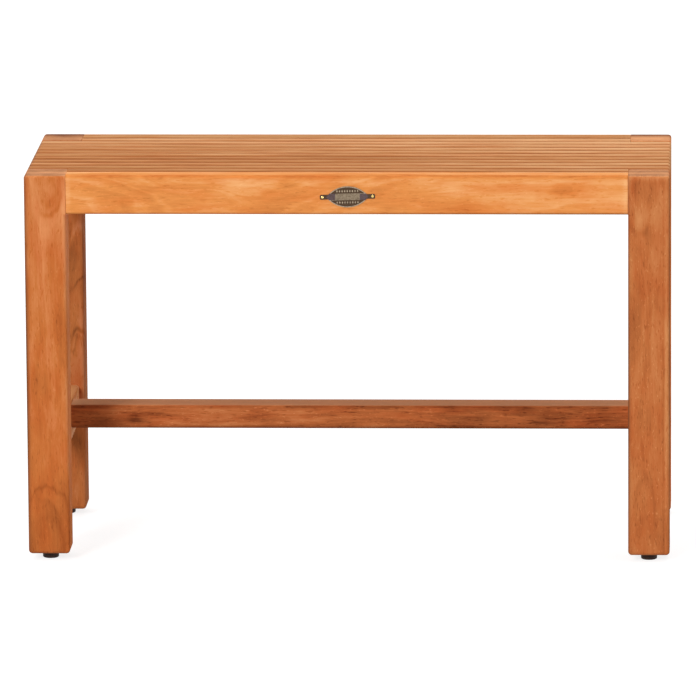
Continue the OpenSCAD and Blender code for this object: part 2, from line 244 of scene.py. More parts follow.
# Teak, sawn, sanded and oiled: satin, with dark growth rings, fine fibre lines, short open pores
# and slow clouds of paler and redder wood. The rings lie round an axis outside the board.
def teak(name, grain, low, high, look):
    look = inLinear({**teakGrain, **look})
    material, tree = newMaterial(name)
    dice = random.Random(look["seed"])
    place = put(tree, "TexCoord").node.outputs["Object"]
    inMm = put(tree, "VectorMath", {0: place, "Scale": 1 / mm}, operation="SCALE")
    tilt = Euler((0, math.radians(look["tilt"][0]), math.radians(look["tilt"][1]))).to_matrix()
    turned = tilt @ grainTurn[grain].to_matrix()
    fromPith = Vector((dice.uniform(-900, 900), *look["pith"]))  # each board has its own stretch of log
    shift = fromPith - turned @ ((low + high) / 2 / mm)
    log = put(tree, "Mapping", {"Vector": inMm, "Location": shift, "Rotation": turned.to_euler()})

    def cloudy(source, length, width, detail=2.0):  # noise drawn out along the grain
        share = (1 / length, 1 / width, 1 / width)
        drawn = put(tree, "VectorMath", {0: source, 1: share}, operation="MULTIPLY")
        return put(tree, "TexNoise", {"Vector": drawn, "Scale": 1, "Detail": detail, "Roughness": 0.58})

    def blotches(source, length, width, start, full, detail=1):  # 1 where that noise is high
        return put(tree, "MapRange", {"Value": cloudy(source, length, width, detail),
                                      **span("From", (start, full))})

    def swayed(source, length, width, push):  # wood whose rings wander to and fro
        colour = cloudy(source, length, width).node.outputs["Color"]
        way = put(tree, "VectorMath", {0: colour, 1: (0.5, 0.5, 0.5)}, operation="SUBTRACT")
        way = put(tree, "VectorMath", {0: way, 1: (0, 2 * push, 2 * push)}, operation="MULTIPLY")
        return put(tree, "VectorMath", {0: source, 1: way}, operation="ADD")

    def fromOval(where, size):  # 0 in the middle of an oval, and 1 on its edge
        away = put(tree, "VectorMath", {0: inMm, 1: where}, operation="SUBTRACT")
        away = put(tree, "VectorMath", {0: away, 1: [1 / s for s in size]}, operation="MULTIPLY")
        return put(tree, "VectorMath", {0: away}, operation="LENGTH")

    def bell(value):  # 1 where the value is 0, fading to 0 on both sides
        square = put(tree, "Math", {0: value, 1: value}, operation="MULTIPLY")
        return put(tree, "Math", {0: math.exp(-1), 1: square}, operation="POWER")

    def spot(where, size):
        return bell(fromOval(where, size))

    bent = swayed(swayed(log, *look["longSway"]), *look["shortSway"])
    far = put(tree, "VectorMath", {0: bent, 1: (500, 300, 700)}, operation="ADD")  # far off in the noise
    across = put(tree, "VectorMath", {0: bent, 1: (0, 1, 1)}, operation="MULTIPLY")
    radius = put(tree, "VectorMath", {0: across}, operation="LENGTH")
    for where, size, push in look["figures"]:  # the rings bulge into ovals here
        radius = put(tree, "Math", {0: spot(where, size), 1: push, 2: radius}, operation="MULTIPLY_ADD")
    rings = put(tree, "TexNoise", {"W": radius, "Scale": 1 / look["ring"], "Detail": 3, "Roughness": 0.55},
                noise_dimensions="1D")
    streaks = cloudy(bent, *look["streak"])
    clouds = cloudy(log, *look["cloud"], 3)
    pores = blotches(bent, *look["pore"])
    flecks = blotches(far, *look["fleck"])
    blush = blotches(far, *look["blush"], 3)

    def growthLine(where, size, width):  # an arch along the edge of an oval, which fades at its open end
        edge = put(tree, "Math", {0: clouds, 1: look["lineSway"], 2: fromOval(where, size)},
                   operation="MULTIPLY_ADD")
        edge = put(tree, "Math", {0: edge, 1: -1 - look["lineSway"] / 2}, operation="ADD")
        line = bell(put(tree, "Math", {0: edge, 1: 1 / width}, operation="MULTIPLY"))
        z = put(tree, "SeparateXYZ", {0: inMm}).node.outputs["Z"]
        fade = [where[2] + share * size[2] for share in (-0.1, 0.9)]
        arch = put(tree, "MapRange", {"Value": z, **span("From", fade)})
        return put(tree, "Math", {0: line, 1: arch}, operation="MULTIPLY")

    parts = put(tree, "CombineXYZ", {0: rings, 1: streaks, 2: clouds})
    weights = [look[part] for part in ("rings", "streaks", "clouds")]
    tone = put(tree, "VectorMath", {0: parts, 1: weights}, operation="DOT_PRODUCT")
    tone = put(tree, "Math", {0: tone, 1: 0.5 - sum(weights) / 2 + look["lift"]}, operation="ADD")
    marks = [(pores, -look["pores"]), (flecks, look["flecks"])]
    marks += [(spot(where, size), strength) for where, size, strength in look["patches"]]
    for mark, strength in marks:
        tone = put(tree, "Math", {0: mark, 1: strength, 2: tone}, operation="MULTIPLY_ADD")
    endTone = put(tree, "Mix", {0: tone, 6: look["endDark"], 7: look["endLight"]}, data_type="RGBA")
    for where, size, width, strength in look["growthLines"]:
        tone = put(tree, "Math", {0: growthLine(where, size, width), 1: strength, 2: tone},
                   operation="MULTIPLY_ADD")

    # along an arris, where two of the three depths are small, the wood is paler: partly wear, partly a
    # painted highlight
    depth = put(tree, "VectorMath", {0: place, 1: (low + high) / 2}, operation="SUBTRACT")
    depth = put(tree, "VectorMath", {0: depth}, operation="ABSOLUTE")
    depth = put(tree, "VectorMath", {0: (high - low) / 2, 1: depth}, operation="SUBTRACT")
    x, y, z = put(tree, "SeparateXYZ", {0: depth}).node.outputs
    lesser = put(tree, "Math", {0: x, 1: y}, operation="MINIMUM")
    greater = put(tree, "Math", {0: x, 1: y}, operation="MAXIMUM")
    fromArris = put(tree, "Math", {0: greater, 1: z}, operation="MINIMUM")
    fromArris = put(tree, "Math", {0: lesser, 1: fromArris}, operation="MAXIMUM")
    wearAndSheen = put(tree, "MapRange", {"Value": fromArris, "From Max": look["paleArrisWidth"] * mm,
                                  "To Min": look["wearAndSheen"], "To Max": 0}, interpolation_type="SMOOTHSTEP")
    tone = put(tree, "Math", {0: tone, 1: wearAndSheen}, operation="ADD")

    ramp = put(tree, "ValToRGB", {"Fac": tone})
    stops = ramp.node.color_ramp.elements
    stops.new(0.5)
    for stop, shade in zip(stops, ("dark", "mid", "light")):
        stop.color = look[shade]
    redder = put(tree, "Math", {0: blush, 1: look["redness"]}, operation="MULTIPLY")
    colour = put(tree, "Mix", {0: redder, 6: ramp, 7: look["blushShade"]}, data_type="RGBA",
                 blend_type="MULTIPLY")

    # painted sheen pales what faces up, end grain is duller, painted shade darkens some edges, and a gap's
    # sides get painted shade
    normal = put(tree, "NewGeometry").node.outputs["Normal"]
    # painted sheen on what faces up
    if "paintedTopSheen" in look:
        facing = put(tree, "VectorMath", {0: normal, 1: grainWay["Z"]}, operation="DOT_PRODUCT")
        upward = put(tree, "MapRange", {"Value": facing, **span("From", look["upward"]),
                                        "To Max": look["topSheenStrength"]})
        colour = put(tree, "Mix", {0: upward, 6: colour, 7: look["paintedTopSheen"]}, data_type="RGBA")
    facing = put(tree, "VectorMath", {0: normal, 1: grainWay[grain]}, operation="DOT_PRODUCT")
    facing = put(tree, "Math", {0: facing}, operation="ABSOLUTE")
    endGrain = put(tree, "MapRange", {"Value": facing, **span("From", look["endFace"])})
    colour = put(tree, "Mix", {0: endGrain, 6: colour, 7: endTone}, data_type="RGBA")
    # painted shade along some edges and arrises
    for where, size, strength in look["paintedEdgeShade"]:
        edgeShaded = put(tree, "Math", {0: spot(where, size), 1: strength}, operation="MULTIPLY")
        colour = put(tree, "Mix", {0: edgeShaded, 6: colour, 7: look["edgeShadeColour"]}, data_type="RGBA")
    # painted shade on the sides of a gap, patchy with the clouds
    if "gapWays" in look:
        facing = [put(tree, "VectorMath", {0: normal, 1: way}, operation="DOT_PRODUCT")
                  for way in look["gapWays"]]
        facing = put(tree, "Math", {0: facing[0], 1: facing[-1]}, operation="MAXIMUM")
        inGap = put(tree, "MapRange", {"Value": facing, **span("From", look["gapFace"])})
        patchyGapShade = put(tree, "MapRange", {"Value": clouds, **span("From", look["patchyGapShade"]),
                                      "To Min": look["leastGapShade"]})
        inGap = put(tree, "Math", {0: inGap, 1: patchyGapShade}, operation="MULTIPLY")
        colour = put(tree, "Mix", {0: inGap, 6: colour, 7: look["paintedGapShade"]}, data_type="RGBA",
                     blend_type="MULTIPLY")

    relief, strength = look["relief"]
    height = put(tree, "Math", {0: streaks, 1: rings}, operation="ADD")
    height = put(tree, "Math", {0: height, 1: pores}, operation="SUBTRACT")
    bump = put(tree, "Bump", {"Height": height, "Distance": relief * mm, "Strength": strength})
    roughness = put(tree, "MapRange", {"Value": clouds, **span("To", look["roughness"])})
    return finished(material, {"Base Color": colour, "Roughness": roughness, "IOR": look["ior"],
                               "Specular IOR Level": look["gloss"], "Normal": bump})


sideways = {"X": (1, 2), "Y": (2, 0), "Z": (0, 1)}  # the two directions across a board
corners = ((0, 2), (1, 2), (1, 3), (0, 3))  # which two of lowU, highU, lowV and highV meet at each arris
arcSteps = 6
leastRadius = 0.1 * mm


def fallBack(depth, radius):  # how far a rounded edge has fallen back, this deep from the end
    if depth >= radius:
        return 0
    return radius - math.sqrt(radius**2 - (radius - depth) ** 2)


# The outlines of a board from its start to its end. arrises holds the radii of its four long edges, and
# startEdges and endEdges those of the edges round its two ends.
def outlines(grain, low, high, arrises, startEdges=(0, 0, 0, 0), endEdges=(0, 0, 0, 0)):
    along = "XYZ".index(grain)
    u, v = sideways[grain]
    sides = (low[u], high[u], low[v], high[v])
    inward = (1, -1, 1, -1)

    def outline(place, depth, edges):
        falls = [fallBack(depth, radius) for radius in edges]
        moved = [side + way * fall for side, way, fall in zip(sides, inward, falls)]
        radii = [max(arris - min(falls[a], falls[b]), leastRadius)
                 for arris, (a, b) in zip(arrises, corners)]
        return place, moved, radii

    def depths(edges):
        turns = [math.pi / 2 * step / arcSteps for step in range(arcSteps + 1)]
        return sorted({round(radius * (1 - math.cos(turn)), 7) for radius in edges for turn in turns})

    start = [outline(low[along] + depth, depth, startEdges) for depth in depths(startEdges)]
    end = [outline(high[along] - depth, depth, endEdges) for depth in reversed(depths(endEdges))]
    return start + end


def outlinePoint(grain, place, sides, radii, slot):
    corner, step = divmod(slot, arcSteps + 1)
    lowU, highU, lowV, highV = sides
    r = radii[corner]
    u = lowU + r if corner in (0, 3) else highU - r
    v = lowV + r if corner in (0, 1) else highV - r
    turn = math.radians(180 + 90 * corner + 90 * step / arcSteps)
    point = Vector()
    point["XYZ".index(grain)] = place
    point[sideways[grain][0]] = u + r * math.cos(turn)
    point[sideways[grain][1]] = v + r * math.sin(turn)
    return point


def only(kind, parts):  # the vertices or the edges among what an operator gives back
    return [part for part in parts if isinstance(part, kind)]


def board(grain, rings):  # the first outline is drawn, then pulled out from ring to ring
    bm = bmesh.new()
    slot = bm.verts.layers.int.new("slot")
    verts = [bm.verts.new(outlinePoint(grain, *rings[0], i)) for i in range(4 * (arcSteps + 1))]
    for i, vert in enumerate(verts):
        vert[slot] = i
    edges = [bm.edges.new((verts[i - 1], verts[i])) for i in range(len(verts))]
    bmesh.ops.contextual_create(bm, geom=edges)
    for ring in rings[1:]:
        pulled = bmesh.ops.extrude_edge_only(bm, edges=edges)["geom"]
        verts = set(only(bmesh.types.BMVert, pulled))
        edges = [part for part in only(bmesh.types.BMEdge, pulled) if verts.issuperset(part.verts)]
        for vert in verts:
            vert.co = outlinePoint(grain, *ring, vert[slot])
    bmesh.ops.contextual_create(bm, geom=edges)
    return bm


def addBoard(name, node, grain, low, high, rings, look):
    material = teak("teak_" + name, grain, low, high, look)
    newPiece(name, board(grain, rings), material, "frame", node)


def titled(side):  # front_left becomes FrontLeft
    return side.title().replace("_", "")


boardEdges = {
    "leg": 4.5,
    "joint": 0.8,  # where two pieces meet
    "seat": 3.5,  # round the outside of the seat
    "apron": 3,
    "slat": 2.5,
    "slatUnder": 1.25,
    "low": 4,
    "closed": 0.4,  # the ends that meet a leg
}
edge = {name: size * mm for name, size in boardEdges.items()}

legBox = {side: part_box(side + "_leg") for side in ("front_left", "front_right", "back_left", "back_right")}
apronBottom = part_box("front_apron")[0].z
innerX = legBox["front_right"][0].x  # inner faces of the legs
innerY = legBox["back_left"][0].y
legMiddle = (innerX + legBox["front_right"][1].x) / 2


def makeLeg(side, look):
    low, high = legBox[side]
    outerX = 1 if "right" in side else 0  # its two sides on the outside of the seat
    outerY = 3 if "back" in side else 2
    fine = [edge["leg"] if (outerX in pair) == (outerY in pair) else edge["joint"] for pair in corners]
    top = [edge["seat"] if way in (outerX, outerY) else edge["joint"] for way in range(4)]
    foot = outlines("Z", low, Vector((high.x, high.y, apronBottom)), [edge["leg"]] * 4, [edge["leg"]] * 4)
    head = outlines("Z", Vector((low.x, low.y, apronBottom)), high, fine, endEdges=top)
    addBoard("leg" + titled(side), side + "_leg", "Z", low, high, foot + head, look)


legLook = {
    "dark": "#9A5025", "mid": "#CB743A", "light": "#E89C65", "endDark": "#7B482E", "endLight": "#E7A473",
    "pith": (-90, 8), "tilt": (1.2, 0.8), "cloud": (60, 22),
    "rings": 0.5, "streaks": 0.28, "clouds": 0.7, "pores": 0.2, "flecks": 0.15,
}
# Figures push the growth rings into ovals, patches are paler (+) or darker (-) wood, some of them painted
# light and shade, and growth lines run along the edge of an oval. Each has its place and half sizes in mm,
# and last how strong it is. A growth line's width, just before that, is a share of its oval. Some arrises
# and the backs of the seat's corners are darkened with painted shade.
legs = {
    "front_left": {
        "seed": 11,
        "figures": [((-351, -152, 474), (13, 60, 52), 9), ((-353, -152, -6), (15, 60, 74), 6)],
        "growthLines": [
            ((-354, -152, 452), (16, 60, -37), 0.1, -0.16),
            ((-355, -152, 452), (8, 60, -24), 0.16, -0.08),
            ((-360, -152, 40), (26, 60, 48), 0.07, -0.18),
            ((-362, -152, 30), (17, 60, 40), 0.1, -0.08),
        ],
        "patches": [
            ((-356, -152, 440), (60, 30, 40), 0.14),
            ((-355, -152, 446), (9, 30, 20), -0.10),
            ((-362, -152, 400), (6, 30, 30), 0.14),
            ((-342, -152, 270), (10, 40, 60), -0.08),
            ((-356, -152, 10), (60, 60, 60), -0.18),
            ((-358, -152, 378), (60, 30, 45), 0.07),
            ((-362, -152, 330), (14, 60, 55), 0.09),
            ((-337, -154, 300), (5, 6, 80), -0.16),
            # painted highlight on the inner front arris
            ((-333, -151, 395), (5, 8, 60), 0.4),
            # painted light on the inner side, which the key light does not reach
            ((-331, -128, 230), (3, 22, 330), 0.3),
            ((-331, -130, 380), (3, 30, 90), 0.25),
            ((-356, -132, 465), (60, 6, 4), 0.24),
            ((-356, -104, 465), (60, 6, 4), 0.04),
        ],
        "paintedEdgeShade": [((-381, -149, 230), (3.4, 20, 330), 0.95)],
    },
    "front_right": {
        "seed": 12,
        "dark": "#8D4925", "mid": "#C3723F", "light": "#DC965F", "flecks": 0.36, "pores": 0.24,
        "figures": [((348, -152, 330), (12, 60, 60), 5)],
        "growthLines": [
            ((346, -152, 425), (12, 60, -34), 0.14, -0.2),
            ((352, -152, 50), (12, 60, 56), 0.12, -0.14),
        ],
        "patches": [
            ((350, -152, 452), (34, 60, 24), -0.10),
            ((357, -152, 396), (5, 60, 16), -0.26),
            ((340, -152, 392), (5, 60, 16), 0.1),
            ((345, -152, 412), (5, 60, 9), 0.18),
            ((363, -152, 424), (5, 60, 12), 0.16),
            ((373, -152, 434), (6, 60, 22), 0.28),
            # painted highlights along both front arrises, with a darker line beside the right one
            ((376.6, -152, 210), (1.6, 20, 240), 0.2),
            ((373.4, -152, 210), (1.4, 20, 240), -0.12),
            ((334.5, -152, 220), (2, 60, 240), 0.14),
            ((379.6, -150, 230), (1.5, 20, 330), 0.1),
            # painted highlight on the top front arris
            ((356, -151, 463), (60, 5, 3.5), 0.3),
            ((356, -132, 465), (60, 7, 4), 0.36),
            ((356, -106, 465), (60, 9, 4), 0.16),
        ],
        "paintedEdgeShade": [((331, -149, 190), (3, 20, 250), 0.95), ((381.6, -149, 235), (1.6, 20, 330), 0.95)],
    },
    "back_left": {
        "seed": 13,
        "dark": "#7F4725", "mid": "#BB6F3C", "light": "#DC986B", "streaks": 0.2,
        "growthLines": [
            ((-336, 103, 322), (13, 30, 40), 0.12, 0.28),
            ((-330, 103, 270), (20, 30, 26), 0.08, -0.3),
            ((-337, 103, 202), (12, 30, 31), 0.1, -0.34),
            ((-337, 103, 196), (7, 30, 27), 0.14, -0.14),
        ],
        "patches": [
            ((-333, 104, 230), (4, 20, 330), 0.14),
            # painted shadow of the apron, lifted again just under it by painted light
            ((-338, 103, 332), (30, 40, 52), -0.26),
            ((-338, 103, 373), (30, 40, 10), 0.14),
            ((-338, 103, 90), (30, 40, 50), -0.08),
            # painted shade on the back of the top
            ((-356, 153, 465), (60, 20, 20), -0.55),
            ((-356, 112, 465), (60, 12, 20), 0.1),
        ],
        "paintedEdgeShade": [((-331.6, 106, 230), (1.2, 30, 330), 0.3)],
    },
    "back_right": {
        "seed": 14,
        # the first patch is painted shade on the back of the top
        "patches": [((356, 154, 465), (60, 15, 20), -0.7), ((356, 118, 465), (60, 16, 20), 0.5)],
        "paintedEdgeShade": [((381.4, 149, 235), (1, 20, 330), 0.8)],
    },
}
for side, own in legs.items():
    makeLeg(side, {**legLook, **own})


def makeApron(side, look):
    low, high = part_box(side + "_apron")
    low.x, high.x = -innerX, innerX  # without its tenons
    upper, ends = [edge["slat"], edge["seat"]], [edge["joint"], 0]  # as the front apron has them
    if side == "back":
        upper.reverse()
        ends.reverse()
    arrises = [edge["apron"], edge["apron"]] + upper
    ends += [0, edge["closed"]]
    rings = outlines("X", low, high, arrises, ends, ends)
    addBoard("apron" + side.title(), side + "_apron", "X", low, high, rings, look)


apronLook = {
    "dark": "#BD682E", "mid": "#EA9650", "light": "#FFC388", "blushShade": "#F4CDB0",
    "pith": (-70, 30), "tilt": (0.6, -0.9), "ring": 6, "cloud": (60, 15), "streak": (34, 2),
    "rings": 0.5, "streaks": 0.34, "clouds": 0.6, "pores": 0.16, "flecks": 0.14,
}
aprons = {
    "front": {
        "seed": 21,
        "figures": [
            ((-150, -152, 443), (150, 300, 300), 33),
            ((-158, -152, 440), (26, 60, 15), -9),
            ((115, -152, 417), (78, 60, 15), 12),
            ((256, -152, 447), (22, 60, 9), 5),
        ],
        "patches": [
            # painted light on the top face, and painted shade on the top front arris
            ((0, -126, 466), (900, 12, 5), 0.24),
            ((0, -150.6, 464.4), (900, 3.4, 2.2), -0.3),
            ((0, -152, 457.5), (900, 40, 3), 0.08),
            ((190, -152, 457), (190, 40, 6), 0.1),
            ((-126, -152, 453), (28, 40, 7), 0.20),
            ((-68, -152, 453), (14, 40, 6), -0.25),
            ((-96, -152, 425), (20, 40, 5), -0.20),
            ((124, -152, 451), (17, 40, 7), 0.22),
            ((110, -152, 425), (70, 40, 8), -0.12),
            ((257, -152, 446), (17, 40, 6), -0.2),
            ((220, -152, 440), (160, 60, 60), 0.07),
            # painted highlights at the two ends
            ((-329, -152, 443), (3, 40, 30), 0.15),
            ((329, -152, 443), (3, 40, 30), 0.15),
        ],
        # painted shade along the bottom edge, darker to the right
        "paintedEdgeShade": [((0, -152, 418.8), (900, 8, 1.9), 0.32), ((290, -152, 418.8), (260, 8, 1.9), 0.45)],
    },
    # its inner side gets painted shade in the gap
    "back": {"seed": 22, "gapWays": [(0, -1, 0)], "dark": "#986132", "mid": "#C68E5D", "light": "#E1B286"},
}
for side, own in aprons.items():
    makeApron(side, {**apronLook, **own})


def makeSlat(number, look):
    node = f"slat_{number:02d}"
    low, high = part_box(node)
    ends = [edge["joint"], edge["joint"], edge["joint"], edge["seat"]]
    if high.x < legMiddle:  # a short one, between the legs
        low.x, high.x = -innerX, innerX
        ends = [0, 0, 0, edge["closed"]]
    arrises = [edge["slatUnder"], edge["slatUnder"], edge["slat"], edge["slat"]]
    rings = outlines("X", low, high, arrises, ends, ends)
    addBoard(f"slat{number:02d}", node, "X", low, high, rings, look)


slatLook = {
    "dark": "#965F36", "mid": "#C78A58", "light": "#EAB887", "blushShade": "#F2CDB8",
    # both sides of a slat get painted shade in the gaps
    "gapWays": [(0, 1, 0), (0, -1, 0)],
    "pith": (-120, -90), "tilt": (0.3, 0.4), "ring": 9, "streak": (150, 5), "cloud": (170, 30),
    "rings": 0.62, "streaks": 0.7, "clouds": 0.6, "pores": 0.06,
    "patches": [((420, 0, 460), (420, 400, 400), 0.16)],  # paler towards the right end
    "edgeShadeColour": "#806459",
    "paintedEdgeShade": [((-381, 0, 464), (2.6, 900, 6), 0.75)],  # painted shade along the left ends
}
slatLifts = (-0.08, -0.02, 0.0, -0.08, -0.14, 0.0, 0.0, 0.06, 0.08, 0.18, 0.18)  # from front to back
for number, lift in enumerate(slatLifts, 1):
    makeSlat(number, {**slatLook, "lift": lift, "seed": 30 + number})


railLook = {
    "dark": "#975B2D", "mid": "#D98C4E", "light": "#FDBB84", "endDark": "#A0683C", "endLight": "#D8A06A",
    "pith": (60, -40), "tilt": (0.8, 0.5),
    # the paler colour on the upward faces is a painted sheen
    "rings": 0.8, "streaks": 0.5, "clouds": 0.7, "pores": 0.2, "paintedTopSheen": "#D09563",
}


def makeLowRail(side, look):
    low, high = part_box(side + "_low_rail")
    low.y, high.y = -innerY, innerY
    rings = outlines("Y", low, high, [edge["low"]] * 4)
    addBoard(side + "LowRail", side + "_low_rail", "Y", low, high, rings, look)
    return low, high


lowRails = {
    # the left rail's paler colour and its patch are painted light on its inner face
    "left": {"seed": 51, "light": "#FFD0A4", "patches": [((-332, 0, 150), (6, 200, 60), 1)]},
    "right": {"seed": 52},
}
railBox = {side: makeLowRail(side, {**railLook, **own}) for side, own in lowRails.items()}

stretcherLook = {
    "seed": 53,
    "dark": "#6C351B", "mid": "#BC693A", "light": "#E09560", "blushShade": "#F2C0AC",
    "endDark": "#8E5430", "endLight": "#C88C5C", "edgeShadeColour": "#5A2C12",
    "pith": (-50, 40), "tilt": (0.7, -0.6),
    "rings": 0.5, "streaks": 0.4, "clouds": 0.85, "pores": 0.25, "flecks": 0.3, "cloud": (50, 16),
    # the paler colour on the upward faces is a painted sheen
    "paintedTopSheen": "#C7936D",
    "figures": [((-175, -20, 143), (60, 30, 9), 7)],
    "patches": [
        ((330, -20, 148), (260, 60, 60), -0.26),
        # partly a dark figure, partly a painted shadow of the front left leg
        ((-320, -20, 148), (42, 60, 60), -0.22),
        ((-262, -20, 148), (10, 60, 8), -0.3),
        ((-200, -20, 143), (80, 60, 60), 0.12),
        ((-300, -20, 156), (28, 60, 6), 0.2),
        ((-290, -20, 140), (34, 60, 6), -0.16),
        ((-240, -20, 154), (34, 60, 8), -0.18),
        ((-58, -20, 156), (16, 60, 4), 0.2),
        ((262, -20, 141), (16, 60, 5), 0.2),
        ((300, -20, 148), (24, 60, 8), -0.16),
        ((330, -20, 148), (90, 60, 60), 0.14),
        ((0, -20, 161), (900, 4, 2), -0.2),
    ],
    # painted shade along the bottom edge and the top back edge
    "paintedEdgeShade": [((0, -20, 133.5), (900, 8, 4.2), 0.8), ((0, 20.5, 163.5), (900, 2.5, 4), 0.6)],
}


def makeStretcher(look):
    low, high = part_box("long_stretcher")
    low.x, high.x = railBox["left"][1].x, railBox["right"][0].x
    rings = outlines("X", low, high, [edge["low"]] * 4)
    addBoard("longStretcher", "long_stretcher", "X", low, high, rings, look)


makeStretcher(stretcherLook)


def refinish(node, material):  # a CAD node keeps its shape and gets a better material
    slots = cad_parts[node].data.materials
    slots.clear()
    slots.append(material)


seatRailSeeds = {"left_seat_rail": 54, "right_seat_rail": 55, "centre_batten": 56}
for node, seed in seatRailSeeds.items():
    refinish(node, teak("teak_" + node, "Y", *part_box(node), {**railLook, "seed": seed}))
print("boards are made")


footParts = {
    "padCurve": ((1, 0), (0.45, 0.25), (0.12, 0.65), (0, 1)),  # the lower edge, inwards and up, in bevels
    "padBevel": 1.4,
    "padRound": 0.5,  # radius of the upper edge
    "soleGroove": (6.2, 7.4, 0.5, 0.2),  # inner and outer radius, depth and slope
    "sole": 1.4,  # rubber under the disc
    "disc": (6.5, 1.2),  # radius and thickness of the steel disc in the pad
    "neck": 4.6,  # radius of the hole in the top of the pad
    "pitch": 1.25,  # of the thread
    "threadDepth": 0.7,
    "threadSeam": 0.02,  # turns of the thread that lie closer than this are joined
    "crest": (0.44, 0.56),  # where the thread is highest, in pitches
    "turnSteps": 24,
    "tip": (1.0, 0.2),  # how long it is and how much thinner it ends
    "play": 0.05,  # between the stud and its insert
    "insertBody": 6.0,  # radii of the body and the bore
    "insertBore": 4.0,
    "mouths": (0.4, 0.3),  # the bevels of the bore, below and above
    "flange": (1.2, 0.25),  # thickness and bevel
    "ribs": (5, 0.35, 0.2),  # number, depth and slope
    "rubber": {"colour": "#34211A", "scuffed": "#4C362A", "scuff": 6, "rubbed": (0.45, 0.75),
               "rough": (0.45, 0.7), "grit": (0.35, 0.05, 0.6)},  # size, depth and strength of the grit
    "brass": {"colour": "#C9A15A", "tarnish": "#8E6A36", "spot": 3, "dulled": (0.4, 0.7),
              "rough": (0.22, 0.42), "toolMark": (0.25, 0.03, 0.5)},
    "zinc": {"colour": "#B4B6B8", "tarnish": "#8C8E86", "spot": 2.5, "dulled": (0.4, 0.7),
             "rough": (0.28, 0.45), "toolMark": (0.3, 0.02, 0.5)},
}


# Natural rubber with a little carbon black, moulded: a very dark brown, satin, paler where it is scuffed.
def mouldedRubber(look):
    look = inLinear(look)
    material, tree = newMaterial("moulded_dark_rubber")
    place = put(tree, "TexCoord").node.outputs["Object"]
    cloud = put(tree, "TexNoise", lumps(place, look["scuff"]))
    rubbed = put(tree, "MapRange", {"Value": cloud, **span("From", look["rubbed"])})
    colour = put(tree, "Mix", {0: rubbed, 6: look["colour"], 7: look["scuffed"]}, data_type="RGBA")
    size, depth, strength = look["grit"]
    grit = put(tree, "TexNoise", lumps(place, size, 1))
    bump = put(tree, "Bump", {"Height": grit, "Distance": depth * mm, "Strength": strength})
    roughness = put(tree, "MapRange", {"Value": cloud, **span("To", look["rough"])})
    return finished(material, {"Base Color": colour, "Roughness": roughness, "IOR": 1.52,
                               "Specular IOR Level": 0.2, "Normal": bump})


# A metal turned in a lathe: fine rings from the tool round the axis of its foot, with slow tarnish.
def turnedMetal(name, look):
    look = inLinear(look)
    material, tree = newMaterial(name)
    place = put(tree, "TexCoord").node.outputs["Object"]
    folded = put(tree, "VectorMath", {0: place}, operation="ABSOLUTE")  # one corner stands for all four
    low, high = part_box("back_right_foot_pad")
    out = put(tree, "VectorMath", {0: folded, 1: (low + high) / 2}, operation="SUBTRACT")
    flat = put(tree, "VectorMath", {0: out, 1: (1, 1, 0)}, operation="MULTIPLY")
    radius = put(tree, "VectorMath", {0: flat}, operation="LENGTH")
    radius = put(tree, "Math", {0: radius, 1: 1 / mm}, operation="MULTIPLY")
    z = put(tree, "SeparateXYZ", {0: place}).node.outputs["Z"]
    cut = put(tree, "Math", {0: z, 1: 1 / mm, 2: radius}, operation="MULTIPLY_ADD")
    width, depth, strength = look["toolMark"]
    tool = put(tree, "TexNoise", {"W": cut, "Scale": 1 / width, "Detail": 1}, noise_dimensions="1D")
    bump = put(tree, "Bump", {"Height": tool, "Distance": depth * mm, "Strength": strength})
    cloud = put(tree, "TexNoise", lumps(place, look["spot"]))
    tarnish = put(tree, "MapRange", {"Value": cloud, **span("From", look["dulled"])})
    colour = put(tree, "Mix", {0: tarnish, 6: look["colour"], 7: look["tarnish"]}, data_type="RGBA")
    roughness = put(tree, "MapRange", {"Value": tarnish, **span("To", look["rough"])})
    return finished(material, {"Base Color": colour, "Metallic": 1.0, "Roughness": roughness,
                               "Normal": bump})


def lathe(bm, profile, segments=48):  # turns a profile of radius and height round the Z axis
    verts = [bm.verts.new((radius, 0, height)) for radius, height in profile]
    edges = [bm.edges.new(pair) for pair in zip(verts, verts[1:])]
    bmesh.ops.spin(bm, geom=verts + edges, cent=(0, 0, 0), axis=(0, 0, 1), angle=math.tau, steps=segments,
                   use_merge=True)


def rounded(corner, radius, start, steps=4):  # a quarter circle from one angle on, counterclockwise
    turns = [math.radians(start + 90 * step / steps) for step in range(steps + 1)]
    return [(corner[0] + radius * math.cos(turn), corner[1] + radius * math.sin(turn)) for turn in turns]


def setInPlace(bm, matrix):  # from millimetres at the origin to metres in place
    bmesh.ops.transform(bm, matrix=matrix @ Matrix.Scale(mm, 4), verts=bm.verts)


def makePad(radius, height, parts):
    inner, outer, depth, slope = parts["soleGroove"]
    disc, thick = parts["disc"]
    bevel, soft, sole, neck = (parts[size] for size in ("padBevel", "padRound", "sole", "neck"))
    groove = [(inner, 0), (inner + slope, depth), (outer - slope, depth), (outer, 0)]
    lower = [(radius - bevel * inwards, bevel * up) for inwards, up in parts["padCurve"]]
    upper = rounded((radius - soft, height - soft), soft, 0)
    socket = [(neck, height), (neck, sole + thick), (disc, sole + thick), (disc, sole), (0, sole)]
    bm = bmesh.new()
    lathe(bm, [(0, 0)] + groove + lower + upper + socket, 64)
    return bm


